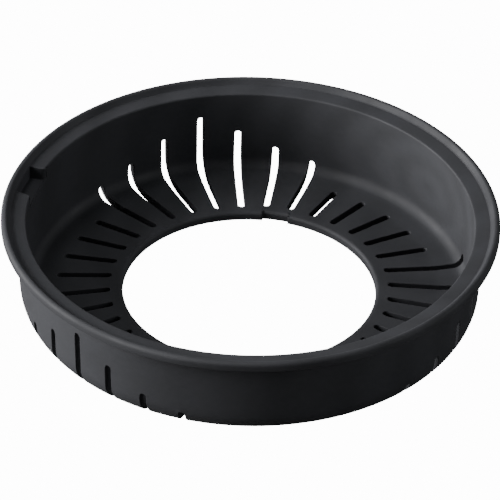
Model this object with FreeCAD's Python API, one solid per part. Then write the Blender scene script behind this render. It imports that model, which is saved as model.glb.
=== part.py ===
import FreeCAD, Part
import math
import os

# Slotted drain ring of a kitchen garbage disposer: one plastic moulding that hangs by its flange in
# the round outlet of a sink. Food goes through the round throat in its floor, and water drains
# through the slots, which in three places climb the wall.
#
# Millimetres. +Z is up and is the axis of the ring. The origin is on that axis at the lowest plane.
# The notch in the throat's edge is at +Y and the key pocket in the ledge is close to -X.

# Flange and the bead round its edge
flange_diameter = 180.0
overall_height = 37.0
flange_thickness = 3.4          # crest of the bead down to the seat
bead_width = 3.4                # outer edge of the flange in to the crease
bead_height = 1.85              # crease up to the crest
bead_crest_width = 2.1          # outer edge in to where the crest turns down to the crease
bead_outer_radius = 1.5
bead_under_radius = 0.6
bead_inner_radius = 1.0
crease_radius = 0.9
ledge_fall = 0.55               # crease down to the ledge's inner edge
ledge_edge_radius = 0.7
seat_fillet = 0.6

# Wall
spigot_diameter = 168.0         # straight band that goes into the sink's outlet
spigot_length = 7.6
wall_thickness = 3.2
outer_draft = 1.1               # how much the radius shrinks from the straight band to the floor
inner_draft = 0.9
corner_radius = 9.8             # outside, where the wall turns into the floor
inner_corner_radius = 3.8

# Floor and throat
floor_thickness = 3.3
floor_rise = 2.3                # throat's lower edge above the lowest plane
stand_width = 13.4              # flat band of the floor, from the wall in to where the floor rises
throat_diameter = 91.8
throat_roll_radius = 1.25
throat_under_radius = 0.2

# Notch in the throat's edge
notch_width = 9.7
notch_depth = 1.2
notch_angle = 90.0
roll_overlap = 0.05             # how far the notch's rolled edge starts above the floor

# Slots
groups = 3
slots_per_group = 12
wrapped_each_side = 3           # slots beside the tallest one that also climb the wall
slot_width = 2.5
slot_inner_margin = 4.6         # throat's edge to the slot's inner end
slot_outer_margin = 9.2         # wall to the outer end of a slot that stays in the floor
slot_band_gap = 0.7             # tallest slot below the straight band
lowest_slot_top = 7.7
climb_shares = (1.0, 0.61, 0.23, 0.0)   # tallest slot outwards, from the lowest top to the tallest
tallest_slot_angle = 115.0

# Key pocket in the ledge, with the boss outside that closes it
pocket_angle = 176.0
pocket_width = 16.6
pocket_drop = 4.6               # below the ledge's inner edge
pocket_wall = 1.6
pocket_floor = 1.6
pocket_bead_gap = 0.2           # pocket's outer wall to the crease
pocket_mouth_radius = 1.6       # rounds the upright edges where the pocket opens into the bowl

# Clear distance that a cutter runs past what it cuts
overrun = 1.0

# Sizes that follow
flange_radius = flange_diameter / 2
spigot_radius = spigot_diameter / 2
throat_radius = throat_diameter / 2
seat_height = overall_height - flange_thickness
crease_height = overall_height - bead_height
crease_edge = flange_radius - bead_width
ledge_height = crease_height - ledge_fall
band_bottom = seat_height - spigot_length
wall_top_radius = spigot_radius - wall_thickness
wall_base_radius = wall_top_radius - inner_draft
outer_base_radius = spigot_radius - outer_draft
stand_radius = outer_base_radius - stand_width
tallest_slot_top = band_bottom - slot_band_gap
slot_pitch = 360.0 / (groups * slots_per_group)
pocket_reach = crease_edge - pocket_bead_gap
pocket_bottom = ledge_height - pocket_drop


def floor_top(radius):
    """Height of the floor's upper face: flat by the wall, then a shallow cone up to the throat."""
    climb = (stand_radius - radius) / (stand_radius - throat_radius)
    return floor_thickness + floor_rise * max(climb, 0.0)


def rounded_outline(corners):
    """Closed wire in the XZ plane through (x, z, radius) corners, each rounded by its radius."""
    points = [FreeCAD.Vector(x, 0, z) for x, z, _ in corners]
    edges = []
    joints = []
    for i, (_, _, radius) in enumerate(corners):
        corner = points[i]
        back = (points[i - 1] - corner).normalize()
        ahead = (points[(i + 1) % len(points)] - corner).normalize()
        if radius == 0:
            joints.append((corner, corner))
            continue
        half_angle = back.getAngle(ahead) / 2
        setback = radius / math.tan(half_angle)
        middle = (back + ahead).normalize()
        centre = corner + middle * (radius / math.sin(half_angle))
        start = corner + back * setback
        end = corner + ahead * setback
        edges.append(Part.Arc(start, centre - middle * radius, end).toShape())
        joints.append((start, end))
    for i, (_, leaving) in enumerate(joints):
        arriving = joints[(i + 1) % len(joints)][0]
        edges.append(Part.LineSegment(leaving, arriving).toShape())
    return Part.Wire(Part.__sortEdges__(edges))


def revolved(corners):
    """Solid of revolution about Z of a rounded outline."""
    return Part.Face(rounded_outline(corners)).revolve(
        FreeCAD.Vector(0, 0, 0), FreeCAD.Vector(0, 0, 1), 360
    )


def turned(shape, angle):
    """Copy of a shape made along +X, turned about Z to an angle in degrees."""
    copy = shape.copy()
    copy.rotate(FreeCAD.Vector(0, 0, 0), FreeCAD.Vector(0, 0, 1), angle)
    return copy


def radial_box(inner, outer, width, low, high):
    """Box along +X, centred on the XZ plane."""
    corner = FreeCAD.Vector(inner, -width / 2, low)
    return Part.makeBox(outer - inner, width, high - low, corner)


def ring_body():
    """Bowl with its flange, before any cut."""
    return revolved([
        (throat_radius, floor_rise, throat_under_radius),
        (stand_radius, 0, 0),
        (outer_base_radius, 0, corner_radius),
        (spigot_radius, band_bottom, 0),
        (spigot_radius, seat_height, seat_fillet),
        (flange_radius, seat_height, bead_under_radius),
        (flange_radius, overall_height, bead_outer_radius),
        (flange_radius - bead_crest_width, overall_height, bead_inner_radius),
        (crease_edge, crease_height, crease_radius),
        (wall_top_radius, ledge_height, ledge_edge_radius),
        (wall_base_radius, floor_top(wall_base_radius), inner_corner_radius),
        (stand_radius, floor_top(stand_radius), 0),
        (throat_radius, floor_top(throat_radius), throat_roll_radius),
    ])


def throat_notch():
    """Cutter for the shallow notch, with the throat's rolled edge carried round it."""
    edge = throat_radius + notch_depth
    clear = edge + 2 * throat_roll_radius
    cutter = revolved([
        (throat_radius - notch_depth, -overrun, 0),
        (edge, -overrun, 0),
        (edge, floor_top(edge) + roll_overlap, throat_roll_radius),
        (clear, floor_top(clear) + roll_overlap, 0),
        (clear, floor_top(clear) + overrun, 0),
        (throat_radius - notch_depth, floor_top(clear) + overrun, 0),
    ])
    sector = radial_box(0, clear + overrun, notch_width, -2 * overrun, overall_height)
    return turned(cutter.common(sector), notch_angle)


def meets_notch(angle):
    """True for a slot whose inner end lies beside the notch."""
    away = abs((angle - notch_angle + 180) % 360 - 180)
    reach = throat_radius * math.radians(away) - slot_width / 2
    return reach < notch_width / 2


def slot(angle, top):
    """Cutter for one slot. With top None it stays in the floor, otherwise it climbs to that height."""
    round_end = slot_width / 2
    inner = throat_radius + slot_inner_margin
    if meets_notch(angle):
        inner += notch_depth
    start = inner + round_end
    above_floor = floor_top(inner) + overrun
    cutter = Part.makeCylinder(round_end, above_floor + overrun, FreeCAD.Vector(start, 0, -overrun))
    if top is None:
        end = wall_base_radius - slot_outer_margin - round_end
        cutter = cutter.fuse([
            radial_box(start, end, slot_width, -overrun, above_floor),
            Part.makeCylinder(round_end, above_floor + overrun, FreeCAD.Vector(end, 0, -overrun)),
        ])
    else:
        outside = spigot_radius + overrun
        wall_inside = wall_base_radius - corner_radius
        rounded_top = Part.makeCylinder(
            round_end, outside - wall_inside,
            FreeCAD.Vector(wall_inside, 0, top - round_end), FreeCAD.Vector(1, 0, 0)
        )
        cutter = cutter.fuse([
            radial_box(start, outside, slot_width, -overrun, min(above_floor, top - round_end)),
            radial_box(wall_inside, outside, slot_width, -overrun, top - round_end),
            rounded_top,
        ])
    return turned(cutter, angle)


def all_slots():
    """Three like groups: the tallest slot, the ones that climb beside it, and those in the floor."""
    cutters = []
    for group in range(groups):
        for step in range(slots_per_group):
            angle = tallest_slot_angle + (group * slots_per_group + step) * slot_pitch
            away = min(step, slots_per_group - step)
            top = None
            if away <= wrapped_each_side:
                climb = tallest_slot_top - lowest_slot_top
                top = lowest_slot_top + climb_shares[away] * climb
            cutters.append(slot(angle, top))
    return cutters


def pocket_boss():
    """Boss under the flange that closes the key pocket from outside."""
    boss = radial_box(
        wall_top_radius + wall_thickness / 2, flange_radius, pocket_width + 2 * pocket_wall,
        pocket_bottom - pocket_floor, seat_height + seat_fillet
    )
    limit = Part.makeCylinder(pocket_reach + pocket_wall, overall_height)
    return turned(boss.common(limit), pocket_angle)


def pocket_flare(side):
    """Cutter that rounds one upright edge of the pocket's mouth, at side +1 or -1 of its middle."""
    centre_y = pocket_width / 2 + pocket_mouth_radius
    to_centre = wall_top_radius + pocket_mouth_radius
    centre_x = math.sqrt(to_centre ** 2 - centre_y ** 2)
    on_wall = wall_top_radius / to_centre
    inside = wall_base_radius - corner_radius
    corners = [
        (inside, pocket_width / 2),
        (centre_x, pocket_width / 2),
        (centre_x, centre_y),
        (centre_x * on_wall, centre_y * on_wall),
        (inside, centre_y * on_wall),
    ]
    points = [FreeCAD.Vector(x, side * y, pocket_bottom) for x, y in corners]
    up = FreeCAD.Vector(0, 0, overall_height + overrun - pocket_bottom)
    flare = Part.Face(Part.makePolygon(points + points[:1])).extrude(up)
    kept_edge = Part.makeCylinder(
        pocket_mouth_radius, overall_height, FreeCAD.Vector(centre_x, side * centre_y, 0)
    )
    return flare.cut(kept_edge)


def key_pocket():
    """Cutter for the pocket that interrupts the ledge and leaves the bead whole."""
    box = radial_box(
        wall_base_radius - corner_radius, flange_radius, pocket_width,
        pocket_bottom, overall_height + overrun
    )
    limit = Part.makeCylinder(pocket_reach, overall_height + 2 * overrun)
    cutter = box.common(limit).fuse([pocket_flare(1), pocket_flare(-1)])
    return turned(cutter, pocket_angle)


def drain_ring():
    """The finished moulding."""
    body = ring_body().fuse(pocket_boss())
    body = body.cut([throat_notch(), key_pocket()] + all_slots())
    return body.removeSplitter().Solids[0]


os.makedirs("parts", exist_ok=True)
ring = drain_ring()
ring.exportStep("parts/drain_ring.step")
box = ring.optimalBoundingBox()
print(f"drain_ring {box.XLength:.2f} x {box.YLength:.2f} x {box.ZLength:.2f} mm,"
      f" z from {box.ZMin:.2f}, volume {ring.Volume:.0f} mm3, valid {ring.isValid()}")
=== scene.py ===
import math
from collections import namedtuple

import bmesh
import bpy
from mathutils import Matrix, Vector


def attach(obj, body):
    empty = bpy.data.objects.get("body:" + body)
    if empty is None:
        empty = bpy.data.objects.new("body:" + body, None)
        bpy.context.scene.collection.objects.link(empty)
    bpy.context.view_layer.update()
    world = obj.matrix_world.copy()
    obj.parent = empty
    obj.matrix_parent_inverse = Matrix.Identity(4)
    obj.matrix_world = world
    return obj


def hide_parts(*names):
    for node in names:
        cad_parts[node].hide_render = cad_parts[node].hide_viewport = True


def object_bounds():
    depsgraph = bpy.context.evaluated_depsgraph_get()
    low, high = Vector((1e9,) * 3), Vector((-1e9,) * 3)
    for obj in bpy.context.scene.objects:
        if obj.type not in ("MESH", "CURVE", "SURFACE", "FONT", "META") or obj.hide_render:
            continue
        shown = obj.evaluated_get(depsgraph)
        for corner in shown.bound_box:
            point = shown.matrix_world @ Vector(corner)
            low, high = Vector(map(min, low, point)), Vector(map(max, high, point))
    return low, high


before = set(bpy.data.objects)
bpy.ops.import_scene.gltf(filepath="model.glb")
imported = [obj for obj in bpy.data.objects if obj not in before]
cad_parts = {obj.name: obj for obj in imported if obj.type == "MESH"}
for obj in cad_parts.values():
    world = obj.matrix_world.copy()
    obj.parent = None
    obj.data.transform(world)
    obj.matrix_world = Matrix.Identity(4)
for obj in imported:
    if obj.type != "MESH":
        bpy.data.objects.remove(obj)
cad_low, cad_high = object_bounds()

# ---------------------------------------------------------------------------------------------
# Sizes of the ring, in millimetres, the same as the CAD's. The origin is on the ring's axis in
# its lowest plane, and +Z is up.

FLANGE_RADIUS = 90.0
HEIGHT = 37.0
SEAT = 33.6                     # underside of the flange
CREASE_RADIUS = 86.6            # foot of the bead
CREASE = 35.15
CREST_INNER_RADIUS = 87.9
LEDGE = 34.6                    # ledge's inner edge
SPIGOT_RADIUS = 84.0
BAND_BOTTOM = 26.0
WALL_TOP_RADIUS = 80.8
WALL_BASE_RADIUS = 79.9
OUTER_BASE_RADIUS = 82.9
STAND_RADIUS = 69.5             # where the floor starts to rise
THROAT_RADIUS = 45.9
FLOOR_THICKNESS = 3.3
FLOOR_RISE = 2.3

BEAD_OUTER_ROUND = 1.5
BEAD_UNDER_ROUND = 0.6
BEAD_INNER_ROUND = 1.0
CREASE_ROUND = 0.9
LEDGE_EDGE_ROUND = 0.7
SEAT_ROUND = 0.6
OUTER_CORNER_ROUND = 9.8
INNER_CORNER_ROUND = 3.8
THROAT_ROLL = 1.25
THROAT_UNDER_ROUND = 0.2

SLOTS = 36
SLOTS_PER_GROUP = 12
TALLEST_SLOT_ANGLE = 115.0
SLOT_HALF_WIDTH = 1.25
SLOT_START = 50.5               # radius of the slot's inner tip
NOTCH_SLOT_START = 51.7         # the same beside the notch
FLOOR_SLOT_END = 70.7
SLOT_TOPS = (25.3, 18.436, 11.748, 7.7)     # tallest slot first, then its neighbours outwards

NOTCH_ANGLE = 90.0
NOTCH_HALF_WIDTH = 4.85
NOTCH_DEPTH = 1.2
NOTCH_PITCH_MARGIN = 1.0        # degrees past half a pitch within which a slot is beside the notch

POCKET_ANGLE = 176.0
POCKET_HALF_WIDTH = 8.3
POCKET_MOUTH_ROUND = 1.6
POCKET_REACH = 86.4
POCKET_BOTTOM = 30.0
BOSS_HALF_WIDTH = 9.9
BOSS_REACH = 88.0
BOSS_BOTTOM = 28.4

EDGE_ROUND = 0.22               # width of the bevel that breaks sharp edges
ARC_STEP = 11.0                 # most degrees of a rounded corner in one facet
ROW_STEP = 2.0                  # longest facet along the wall and the floor
GRID_START = 49.2               # radius where the rows shared by both faces of the shell begin
RETURN_BEFORE = 3.0             # rows this far inside a slot's ends are not moved by its rounding
RETURN_AFTER = 2.0              # the same, past its outer end
RETURN_AHEAD = 1.0              # the same, before its inner end
CORNER_CLEARANCE = 0.3          # rows of the inner corner stay this far below the next shared row
SINE_STEP = 30                  # degrees of a slot's round end from one column to the next
PULL_REACH = 12.0               # degrees beside a feature over which the columns are drawn
PULL_BELOW = 1.0                # the drawing starts this far below the top of the tallest slot
PER_METRE = 1000                # millimetres
NEAR = 1e-3                     # distances closer than this are the same
FLAT = 0.01                     # heights closer than this to the floor are on it
MERGE = 2e-6                    # metres within which two points of the mesh are one
COLLAPSED = 1e-6                # metres, edges shorter than this are dissolved
STEP_SLACK = 1e-6               # share of ROW_STEP that a rounding error may add to a step
BEVEL_SEGMENTS = 2
BEVEL_ANGLE = 40.0              # degrees between two facets from which their edge is broken

# One column of the ring's mesh. sine places it across a slot, from -1 to 1. Between slots it is
# None, and share is the way from the slot's side, -1 or 1 being halfway to the next slot.
Column = namedtuple("Column", "centre sine share inside")

# One row of the mesh: a point of the outline. station counts the rows that both faces of the
# shell share. changed is the point that takes its place inside a feature, half is half of the
# feature's width there, and pull is how far its sides draw the columns.
Row = namedtuple("Row", "radius z station face feature changed half pull")


def floor_top(radius):
    climb = (STAND_RADIUS - radius) / (STAND_RADIUS - THROAT_RADIUS)
    return FLOOR_THICKNESS + FLOOR_RISE * max(climb, 0.0)


def floor_under(radius):
    return floor_top(radius) - FLOOR_THICKNESS


def rounded(corners):
    """Open path through (radius, z, round) corners, with each corner rounded."""
    path = [Vector(corners[0][:2])]
    for before, corner, after in zip(corners, corners[1:], corners[2:]):
        point = Vector(corner[:2])
        back = (Vector(before[:2]) - point).normalized()
        ahead = (Vector(after[:2]) - point).normalized()
        if corner[2] == 0:
            path.append(point)
            continue
        half_angle = back.angle(ahead) / 2
        middle = (back + ahead).normalized()
        centre = point + middle * corner[2] / math.sin(half_angle)
        start = point + back * corner[2] / math.tan(half_angle) - centre
        end = point + ahead * corner[2] / math.tan(half_angle) - centre
        sweep = start.angle_signed(end)
        facets = max(2, math.ceil(math.degrees(abs(sweep)) / ARC_STEP))
        for i in range(facets + 1):
            turn = Matrix.Rotation(-sweep * i / facets, 2)
            path.append(centre + turn @ start)
    path.append(Vector(corners[-1][:2]))
    return path


def lengths(path):
    """Distance along a path at each of its points."""
    total = [0.0]
    for a, b in zip(path, path[1:]):
        total.append(total[-1] + (b - a).length)
    return total


def between(value, known, result):
    """Value of a piecewise straight function through known and result."""
    for i in range(len(known) - 1):
        if value <= known[i + 1] or i == len(known) - 2:
            share = (value - known[i]) / (known[i + 1] - known[i])
            return result[i] + (result[i + 1] - result[i]) * share


def point_at(path, distance):
    marks = lengths(path)
    radius = between(distance, marks, [p.x for p in path])
    return radius, between(distance, marks, [p.y for p in path])


def distance_at(path, axis, value):
    """Distance along a path where its radius (axis 0) or z (axis 1) first reaches a value."""
    marks = lengths(path)
    for i in range(len(path) - 1):
        a, b = path[i][axis], path[i + 1][axis]
        if a <= value + NEAR and b >= value - NEAR and b > a + NEAR:
            return marks[i] + (marks[i + 1] - marks[i]) * (value - a) / (b - a)
    raise ValueError(f"{value} is not on the path")


def filled(marks):
    """The marks with more between them, so that no step is longer than ROW_STEP."""
    steps = []
    for a, b in zip(marks, marks[1:]):
        parts = max(1, math.ceil((b - a) / ROW_STEP - STEP_SLACK))
        steps += [a + (b - a) * i / parts for i in range(parts)]
    return steps + [marks[-1]]


OUTER_CORNER_START = OUTER_BASE_RADIUS - OUTER_CORNER_ROUND
PITCH = 360 / SLOTS             # degrees from one slot to the next

# The two faces of the shell, from beside the throat to the height of the pocket and its boss
INNER = rounded([
    (GRID_START, floor_top(GRID_START), 0),
    (STAND_RADIUS, FLOOR_THICKNESS, 0),
    (WALL_BASE_RADIUS, FLOOR_THICKNESS, INNER_CORNER_ROUND),
    (WALL_TOP_RADIUS, LEDGE, 0),
])
OUTER = rounded([
    (GRID_START, floor_under(GRID_START), 0),
    (STAND_RADIUS, 0, 0),
    (OUTER_BASE_RADIUS, 0, OUTER_CORNER_ROUND),
    (SPIGOT_RADIUS, BAND_BOTTOM, 0),
    (SPIGOT_RADIUS, SEAT, 0),
])

# Radii and heights, in order from the throat outwards and up, at which both faces have a row
SAME_RADIUS = (GRID_START, SLOT_START, NOTCH_SLOT_START,
               STAND_RADIUS, FLOOR_SLOT_END, OUTER_CORNER_START)
SAME_HEIGHT = (FLOOR_THICKNESS + INNER_CORNER_ROUND, SLOT_TOPS[3], OUTER_CORNER_ROUND,
               SLOT_TOPS[2], SLOT_TOPS[1], SLOT_TOPS[0], BAND_BOTTOM)
INNER_MARKS = [distance_at(INNER, 0, r) for r in SAME_RADIUS]
INNER_MARKS += [distance_at(INNER, 1, z) for z in SAME_HEIGHT]
INNER_MARKS += [distance_at(INNER, 1, POCKET_BOTTOM)]
OUTER_MARKS = [distance_at(OUTER, 0, r) for r in SAME_RADIUS]
OUTER_MARKS += [distance_at(OUTER, 1, z) for z in SAME_HEIGHT]
OUTER_MARKS += [distance_at(OUTER, 1, BOSS_BOTTOM)]


def stations():
    """Distances along the inner face where both faces have a row."""
    corner = [d for d, p in zip(lengths(INNER), INNER) if p.y > FLOOR_THICKNESS + FLAT
              and p.x > STAND_RADIUS and p.y < SAME_HEIGHT[0] - CORNER_CLEARANCE]
    return filled(sorted(INNER_MARKS + corner))


STATIONS = stations()


def on_shell(distance, face):
    """Point of either face at a distance along the inner face."""
    if face == "inner":
        return point_at(INNER, distance)
    return point_at(OUTER, between(distance, INNER_MARKS, OUTER_MARKS))


def shell_row(station, face):
    radius, z = on_shell(STATIONS[station], face)
    if z < SLOT_TOPS[3] and radius < STAND_RADIUS:
        pull = max(0.0, (SLOT_START - radius) / (SLOT_START - GRID_START))
        return Row(radius, z, station, face, "notch", None, NOTCH_HALF_WIDTH, pull)
    top = POCKET_BOTTOM if face == "inner" else BOSS_BOTTOM
    pull = min(1.0, max(0.0, 1 - (top - z) / (top - SLOT_TOPS[0] + PULL_BELOW)))
    return Row(radius, z, station, face, "pocket", None, BOSS_HALF_WIDTH, pull)


def mouth_half_width(radius):
    """Half of the pocket's width, which flares where it opens into the bowl."""
    short = WALL_TOP_RADIUS + POCKET_MOUTH_ROUND - radius
    if short <= 0:
        return POCKET_HALF_WIDTH
    short = min(short, POCKET_MOUTH_ROUND)
    flare = POCKET_MOUTH_ROUND - math.sqrt(POCKET_MOUTH_ROUND ** 2 - short ** 2)
    return POCKET_HALF_WIDTH + flare


def pocket_row(radius, z, changed, half):
    return Row(radius, z, None, None, "pocket", changed, half, 1.0)


def ledge_rows():
    """Up the last of the wall and out over the ledge, where the pocket is cut."""
    foot = on_shell(STATIONS[-1], "inner")
    ledge = rounded([
        (foot[0], foot[1], 0),
        (WALL_TOP_RADIUS, LEDGE, LEDGE_EDGE_ROUND),
        (CREASE_RADIUS, CREASE, 0),
    ])
    reach_z = between(POCKET_REACH, (WALL_TOP_RADIUS, CREASE_RADIUS), (LEDGE, CREASE))
    mouth = mouth_half_width(foot[0])
    rows = [pocket_row(p.x, p.y, foot, mouth) for p in ledge[1:2]]
    round_end = ledge[-2]
    over = filled([round_end.x, WALL_TOP_RADIUS + POCKET_MOUTH_ROUND, POCKET_REACH])[1:]
    across = [(p.x, p.y) for p in ledge[2:-1]]
    across += [(x, between(x, (WALL_TOP_RADIUS, CREASE_RADIUS), (LEDGE, CREASE))) for x in over]
    for radius, z in across:
        rows.append(pocket_row(radius, z, (radius, POCKET_BOTTOM), mouth_half_width(radius)))
    for z in filled([POCKET_BOTTOM, reach_z])[1:]:
        rows.append(pocket_row(POCKET_REACH, reach_z, (POCKET_REACH, z), POCKET_HALF_WIDTH))
    return rows


def bead_rows():
    """Crease, bead and the outer part of the seat, which the pocket and its boss leave whole."""
    reach_z = between(POCKET_REACH, (WALL_TOP_RADIUS, CREASE_RADIUS), (LEDGE, CREASE))
    bead = rounded([
        (POCKET_REACH, reach_z, 0),
        (CREASE_RADIUS, CREASE, CREASE_ROUND),
        (CREST_INNER_RADIUS, HEIGHT, BEAD_INNER_ROUND),
        (FLANGE_RADIUS, HEIGHT, BEAD_OUTER_ROUND),
        (FLANGE_RADIUS, SEAT, BEAD_UNDER_ROUND),
        (BOSS_REACH, SEAT, 0),
    ])
    points = bead[1:]
    widening = BOSS_HALF_WIDTH - POCKET_HALF_WIDTH
    widths = [POCKET_HALF_WIDTH + widening * i / len(points) for i in range(1, len(points) + 1)]
    return [pocket_row(p.x, p.y, None, w) for p, w in zip(points, widths)]


def boss_rows():
    """In along the seat and down the straight band, where the boss stands out."""
    seat = rounded([
        (BOSS_REACH, SEAT, 0),
        (SPIGOT_RADIUS, SEAT, SEAT_ROUND),
        (SPIGOT_RADIUS, BOSS_BOTTOM, 0),
    ])
    rows = []
    for radius in filled([SPIGOT_RADIUS + SEAT_ROUND, BOSS_REACH])[-2::-1]:
        rows.append(pocket_row(radius, SEAT, (BOSS_REACH, SEAT), BOSS_HALF_WIDTH))
    for p in seat[2:-1]:
        rows.append(pocket_row(p.x, p.y, (BOSS_REACH, p.y), BOSS_HALF_WIDTH))
    for z in filled([BOSS_BOTTOM, SEAT - SEAT_ROUND])[-2::-1]:
        rows.append(pocket_row(SPIGOT_RADIUS, z, (BOSS_REACH, z), BOSS_HALF_WIDTH))
    for radius in filled([SPIGOT_RADIUS, BOSS_REACH])[-2:0:-1]:
        rows.append(pocket_row(SPIGOT_RADIUS, BOSS_BOTTOM, (radius, BOSS_BOTTOM), BOSS_HALF_WIDTH))
    return rows


def throat_rows():
    """In under the floor, up the throat and over its rolled edge, where the notch is cut."""
    under = rounded([
        (GRID_START, floor_under(GRID_START), 0),
        (THROAT_RADIUS, floor_under(THROAT_RADIUS), THROAT_UNDER_ROUND),
        (THROAT_RADIUS, floor_top(THROAT_RADIUS), THROAT_ROLL),
        (GRID_START, floor_top(GRID_START), 0),
    ])
    fall = floor_top(THROAT_RADIUS) - floor_top(THROAT_RADIUS + NOTCH_DEPTH)
    edge = under[1:-1]

    def notch_row(radius, z, changed):
        return Row(radius, z, None, None, "notch", changed, NOTCH_HALF_WIDTH, 1.0)

    below = edge[0].x + NOTCH_DEPTH
    above = edge[-1].x + NOTCH_DEPTH
    middle = [notch_row(p.x, p.y, (p.x + NOTCH_DEPTH, p.y - fall)) for p in edge]
    return ([notch_row(below, floor_under(below), None)] + middle
            + [notch_row(above, floor_top(above), None)])


def all_rows():
    """The closed outline, starting on the floor beside the throat and going out over the ledge."""
    last = len(STATIONS) - 1
    rows = [shell_row(i, "inner") for i in range(last + 1)]
    rows += ledge_rows() + bead_rows() + boss_rows()
    rows += [shell_row(i, "outer") for i in range(last, -1, -1)]
    return rows + throat_rows()


def all_columns():
    """Columns round the ring. Those along a feature's sides are doubled: one copy stays outside."""
    sines = [math.sin(math.radians(a)) for a in range(-90, 91, SINE_STEP)]
    plain = []
    for i in range(SLOTS):
        centre = PITCH / 2 + i * PITCH
        plain += [(centre, None, -share) for share in (1.0, 2 / 3, 1 / 3)]
        plain += [(centre, sine, None) for sine in sines]
        plain += [(centre, None, share) for share in (1 / 3, 2 / 3)]
    columns = []
    inside = None
    for column in plain:
        entered = [name for name, pair in FEATURE_SIDES.items() if column == pair[0]]
        left = [name for name, pair in FEATURE_SIDES.items() if column == pair[1]]
        columns.append(Column(*column, inside))
        if entered:
            inside = entered[0]
            columns.append(Column(*column, inside))
        if left:
            inside = None
            columns.append(Column(*column, inside))
    return columns


# The columns that become each feature's sides, as (slot's angle, sine, share)
FEATURE_SIDES = {
    "pocket": ((175.0, None, -1.0), (185.0, None, -1 / 3)),
    "notch": ((85.0, None, -1 / 3), (95.0, None, 1 / 3)),
}
FEATURE_ANGLES = {"pocket": POCKET_ANGLE, "notch": NOTCH_ANGLE}

ROWS = all_rows()
COLUMNS = all_columns()
SIDE_COLUMNS = {name: [Column(*c, None) for c in pair] for name, pair in FEATURE_SIDES.items()}


def plain_angle(column, radius):
    side = math.degrees(math.asin(SLOT_HALF_WIDTH / radius))
    if column.sine is not None:
        across = math.degrees(math.asin(SLOT_HALF_WIDTH * column.sine / radius))
        return column.centre + across
    away = side + (PITCH / 2 - side) * abs(column.share)
    return column.centre + math.copysign(away, column.share)


def column_angle(column, radius, row):
    """Angle of a column in a row, drawn so that the doubled columns follow the feature's sides."""
    angle = plain_angle(column, radius)
    if row.pull == 0:
        return angle
    low, high = (plain_angle(c, radius) for c in SIDE_COLUMNS[row.feature])
    if not low - PULL_REACH < angle < high + PULL_REACH:
        return angle
    half = math.degrees(math.asin(row.half / radius))
    middle = FEATURE_ANGLES[row.feature]
    known = (low - PULL_REACH, low, high, high + PULL_REACH)
    drawn = between(angle, known, (known[0], middle - half, middle + half, known[3]))
    return angle + (drawn - angle) * row.pull


def slot_span(centre):
    """Distances along the inner face where the slot at an angle starts and ends."""
    beside_notch = abs(centre - NOTCH_ANGLE) < PITCH / 2 + NOTCH_PITCH_MARGIN
    start = distance_at(INNER, 0, NOTCH_SLOT_START if beside_notch else SLOT_START)
    away = round(abs(centre - TALLEST_SLOT_ANGLE) / PITCH) % SLOTS_PER_GROUP
    away = min(away, SLOTS_PER_GROUP - away)
    if away < len(SLOT_TOPS):
        return start, distance_at(INNER, 1, SLOT_TOPS[away])
    return start, distance_at(INNER, 0, FLOOR_SLOT_END)


SPANS = {c.centre: slot_span(c.centre) for c in COLUMNS}


def moved_station(distance, column):
    """Distance along the inner face, moved in a slot's columns so that its ends are round."""
    if column.sine is None:
        return distance
    start, end = SPANS[column.centre]
    back = SLOT_HALF_WIDTH * (1 - math.sqrt(max(0.0, 1 - column.sine ** 2)))
    known = (0.0, start - RETURN_AHEAD, start, start + RETURN_BEFORE,
             end - RETURN_BEFORE, end, end + RETURN_AFTER, INNER_MARKS[-1])
    moved = (0.0, start - RETURN_AHEAD, start + back, start + RETURN_BEFORE,
             end - RETURN_BEFORE, end - back, end + RETURN_AFTER, INNER_MARKS[-1])
    return between(distance, known, moved)


def grid_point(row, column):
    radius, z = row.radius, row.z
    if row.station is not None and column.sine is not None:
        radius, z = on_shell(moved_station(STATIONS[row.station], column), row.face)
    elif row.changed and column.inside == row.feature:
        radius, z = row.changed
    angle = math.radians(column_angle(column, radius, row))
    return Vector((radius * math.cos(angle), radius * math.sin(angle), z)) / PER_METRE


def in_slot(station, column, after):
    """True for the facet past a station, between two columns, that a slot takes away."""
    if column.sine is None or after.sine is None or column.centre != after.centre:
        return False
    start, end = SPANS[column.centre]
    return STATIONS[station] > start - NEAR and STATIONS[station + 1] < end + NEAR


def ring_mesh():
    mesh = bmesh.new()
    grid = [[mesh.verts.new(grid_point(row, column)) for column in COLUMNS] for row in ROWS]
    face_row = {(row.face, row.station): i for i, row in enumerate(ROWS) if row.face}
    wide = len(COLUMNS)

    def facet(*corners):
        mesh.faces.new(corners).smooth = True

    for i, row in enumerate(ROWS):
        n = (i + 1) % len(ROWS)
        after = ROWS[n]
        shared = row.face is not None and row.face == after.face
        station = min(row.station, after.station) if shared else None
        for j in range(wide):
            k = (j + 1) % wide
            if shared and in_slot(station, COLUMNS[j], COLUMNS[k]):
                continue
            facet(grid[i][j], grid[i][k], grid[n][k], grid[n][j])

    def lining(station_a, column_a, station_b, column_b):
        ends = ((station_a, column_a), (station_b, column_b))
        inner = [grid[face_row["inner", s]][c] for s, c in ends]
        outer = [grid[face_row["outer", s]][c] for s, c in ends]
        facet(inner[0], inner[1], outer[1], outer[0])

    for station in range(len(STATIONS) - 1):
        for j in range(wide):
            k = (j + 1) % wide
            if not in_slot(station, COLUMNS[j], COLUMNS[k]):
                continue
            if COLUMNS[j].sine == -1:
                lining(station, j, station + 1, j)
            if COLUMNS[k].sine == 1:
                lining(station, k, station + 1, k)
            if station == 0 or not in_slot(station - 1, COLUMNS[j], COLUMNS[k]):
                lining(station, j, station, k)
            if not in_slot(station + 1, COLUMNS[j], COLUMNS[k]):
                lining(station + 1, j, station + 1, k)

    bmesh.ops.remove_doubles(mesh, verts=mesh.verts, dist=MERGE)
    bmesh.ops.dissolve_degenerate(mesh, edges=mesh.edges, dist=COLLAPSED)
    bmesh.ops.recalc_face_normals(mesh, faces=mesh.faces)
    return mesh


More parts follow.
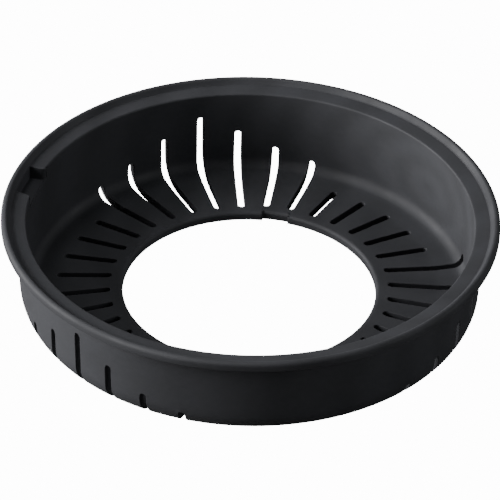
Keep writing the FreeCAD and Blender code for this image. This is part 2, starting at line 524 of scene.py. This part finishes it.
def make_ring(material):
    """The ring drawn on a grid that follows every slot, in place of the CAD's triangles."""
    shape = ring_mesh()
    data = bpy.data.meshes.new("ring_moulding")
    shape.to_mesh(data)
    shape.free()
    data.materials.append(material)
    moulding = bpy.data.objects.new("ring_moulding", data)
    bpy.context.scene.collection.objects.link(moulding)
    edges = moulding.modifiers.new("broken_edges", "BEVEL")
    edges.width = EDGE_ROUND / PER_METRE
    edges.segments = BEVEL_SEGMENTS
    edges.limit_method = "ANGLE"
    edges.angle_limit = math.radians(BEVEL_ANGLE)
    edges.use_clamp_overlap = False
    edges.harden_normals = True
    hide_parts("drain_ring")
    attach(moulding, "root")


# ---------------------------------------------------------------------------------------------
# Camera and studio

# The camera stands far off with a long lens, so there is hardly any perspective
CAMERA_AZIMUTH = 281.12         # degrees from +X, anticlockwise seen from above
CAMERA_ELEVATION = 35.36
CAMERA_ROLL = 1.28
CAMERA_DISTANCE = 2.25
LENS = 450.0
RIM_DROP = 0.0007               # CAMERA_DISTANCE is taken from this far below the flange's top
AIM_DROP = 0.0147               # the camera is aimed this far below that point


def along(azimuth, elevation):
    """Unit vector from the ring towards a direction in degrees."""
    a = math.radians(azimuth)
    e = math.radians(elevation)
    return Vector((math.cos(a) * math.cos(e), math.sin(a) * math.cos(e), math.sin(e)))


def make_camera():
    data = bpy.data.cameras.new("camera")
    data.lens = LENS
    data.sensor_width = 36.0
    data.clip_end = 50.0
    camera = bpy.data.objects.new("camera", data)
    bpy.context.scene.collection.objects.link(camera)
    rim = Vector((0, 0, cad_high.z - RIM_DROP))
    camera.location = rim + along(CAMERA_AZIMUTH, CAMERA_ELEVATION) * CAMERA_DISTANCE
    aim = rim - Vector((0, 0, AIM_DROP))
    look = (aim - camera.location).to_track_quat("-Z", "Y")
    turn = look.to_matrix().to_4x4() @ Matrix.Rotation(math.radians(CAMERA_ROLL), 4, "Z")
    camera.rotation_mode = "QUATERNION"
    camera.rotation_quaternion = turn.to_quaternion()
    bpy.context.scene.camera = camera


def area_light(name, azimuth, elevation, distance, width, height, power, colour):
    """Soft box that faces the ring."""
    data = bpy.data.lights.new(name, "AREA")
    data.shape = "RECTANGLE"
    data.size = width
    data.size_y = height
    data.energy = power
    data.color = colour
    lamp = bpy.data.objects.new(name, data)
    bpy.context.scene.collection.objects.link(lamp)
    lamp.location = along(azimuth, elevation) * distance
    lamp.rotation_mode = "QUATERNION"
    lamp.rotation_quaternion = (-lamp.location).to_track_quat("-Z", "Y")
    lamp.visible_camera = False


def make_lights():
    area_light("key", CAMERA_AZIMUTH - 88, 22, 1.6, 1.1, 0.9, 118.0, (1.0, 0.995, 0.99))
    area_light("top", CAMERA_AZIMUTH - 108, 71, 1.8, 0.5, 0.5, 9.0, (0.97, 0.99, 1.0))
    area_light("fill", CAMERA_AZIMUTH + 76, 25, 1.8, 1.2, 0.6, 15.0, (0.97, 0.99, 1.0))


def make_world():
    world = bpy.data.worlds.new("studio")
    world.use_nodes = True
    background = world.node_tree.nodes["Background"]
    background.inputs["Color"].default_value = (1.0, 1.0, 1.0, 1.0)
    background.inputs["Strength"].default_value = 0.2
    bpy.context.scene.world = world


def make_floor():
    """Flat floor that shows white to the camera but lights the ring less than white paper."""
    size = 6.0
    z = -0.00005                # keeps the floor clear of the ring's flat band
    mesh = bpy.data.meshes.new("floor")
    corners = [(-size, -size, z), (size, -size, z), (size, size, z), (-size, size, z)]
    mesh.from_pydata(corners, [], [(0, 1, 2, 3)])
    floor = bpy.data.objects.new("floor", mesh)
    bpy.context.scene.collection.objects.link(floor)
    material = bpy.data.materials.new("floor_paper")
    material.use_nodes = True
    nodes = material.node_tree.nodes
    links = material.node_tree.links
    dim = nodes["Principled BSDF"]
    dim.inputs["Base Color"].default_value = (0.12, 0.12, 0.12, 1.0)
    dim.inputs["Roughness"].default_value = 0.9
    bright = nodes.new("ShaderNodeEmission")
    bright.inputs["Color"].default_value = (1.0, 1.0, 1.0, 1.0)
    bright.inputs["Strength"].default_value = 14.0
    path = nodes.new("ShaderNodeLightPath")
    mix = nodes.new("ShaderNodeMixShader")
    links.new(path.outputs["Is Camera Ray"], mix.inputs["Fac"])
    links.new(dim.outputs["BSDF"], mix.inputs[1])
    links.new(bright.outputs["Emission"], mix.inputs[2])
    links.new(mix.outputs["Shader"], nodes["Material Output"].inputs["Surface"])
    floor.data.materials.append(material)


FLOW_STRETCH = 1.7              # z is multiplied by this before the rings are drawn
FLOW_SHIFT = (-0.055, -0.058, -0.030)       # metres, added to a point's place after that
FLOW_STRENGTH = 0.45
PIGMENT_DARK = (0.0104, 0.0109, 0.0131, 1.0)
PIGMENT_LIGHT = (0.0152, 0.0158, 0.0187, 1.0)


def noise(nodes, links, place, scale, detail, roughness=0.5):
    """Factor of a noise texture in the ring's own coordinates, in metres."""
    texture = nodes.new("ShaderNodeTexNoise")
    texture.inputs["Scale"].default_value = scale
    texture.inputs["Detail"].default_value = detail
    texture.inputs["Roughness"].default_value = roughness
    links.new(place, texture.inputs["Vector"])
    return texture.outputs["Fac"]


def ranged(nodes, links, factor, low, high, at_low, at_high):
    """Factor from low to high, spread over at_low to at_high."""
    spread = nodes.new("ShaderNodeMapRange")
    spread.inputs["From Min"].default_value = low
    spread.inputs["From Max"].default_value = high
    spread.inputs["To Min"].default_value = at_low
    spread.inputs["To Max"].default_value = at_high
    links.new(factor, spread.inputs["Value"])
    return spread.outputs["Result"]


def flow_lines(nodes, links, place):
    """Faint rings that the melt left in the wall as it ran away from the gate."""
    shift = nodes.new("ShaderNodeMapping")
    shift.inputs["Location"].default_value = FLOW_SHIFT
    shift.inputs["Scale"].default_value = (1.0, 1.0, FLOW_STRETCH)
    links.new(place, shift.inputs["Vector"])
    rings = nodes.new("ShaderNodeTexWave")
    rings.wave_type = "RINGS"
    rings.rings_direction = "SPHERICAL"
    rings.inputs["Scale"].default_value = 20.0
    rings.inputs["Distortion"].default_value = 1.2
    rings.inputs["Detail"].default_value = 1.0
    rings.inputs["Detail Scale"].default_value = 12.0
    links.new(shift.outputs["Vector"], rings.inputs["Vector"])
    return rings.outputs["Fac"]


def moulded_plastic():
    """Near-black moulded plastic: fine grain, cloudy pigment, faint flow lines and dull patches."""
    material = bpy.data.materials.new("moulded_black_plastic")
    material.use_nodes = True
    nodes = material.node_tree.nodes
    links = material.node_tree.links
    shader = nodes["Principled BSDF"]
    shader.inputs["Specular IOR Level"].default_value = 0.3
    place = nodes.new("ShaderNodeTexCoord").outputs["Object"]

    cloud = noise(nodes, links, place, 38.0, 4.0)
    flow = flow_lines(nodes, links, place)
    tint = nodes.new("ShaderNodeMath")
    tint.operation = "MULTIPLY_ADD"
    tint.inputs[1].default_value = FLOW_STRENGTH
    links.new(flow, tint.inputs[0])
    links.new(cloud, tint.inputs[2])
    ramp = nodes.new("ShaderNodeValToRGB")
    ramp.color_ramp.elements[0].position = 0.35
    ramp.color_ramp.elements[0].color = PIGMENT_DARK
    ramp.color_ramp.elements[1].position = 0.95
    ramp.color_ramp.elements[1].color = PIGMENT_LIGHT
    links.new(tint.outputs["Value"], ramp.inputs["Fac"])
    links.new(ramp.outputs["Color"], shader.inputs["Base Color"])

    patches = noise(nodes, links, place, 70.0, 6.0, 0.6)
    links.new(ranged(nodes, links, patches, 0.3, 0.7, 0.66, 0.8), shader.inputs["Roughness"])

    grain = nodes.new("ShaderNodeBump")
    grain.inputs["Strength"].default_value = 0.35
    grain.inputs["Distance"].default_value = 0.00004
    links.new(noise(nodes, links, place, 2600.0, 3.0, 0.6), grain.inputs["Height"])
    ripple = nodes.new("ShaderNodeBump")
    ripple.inputs["Strength"].default_value = 0.25
    ripple.inputs["Distance"].default_value = 0.0002
    links.new(noise(nodes, links, place, 45.0, 2.0), ripple.inputs["Height"])
    links.new(grain.outputs["Normal"], ripple.inputs["Normal"])
    links.new(ripple.outputs["Normal"], shader.inputs["Normal"])
    return material


make_camera()
make_world()
make_lights()
make_floor()
make_ring(moulded_plastic())
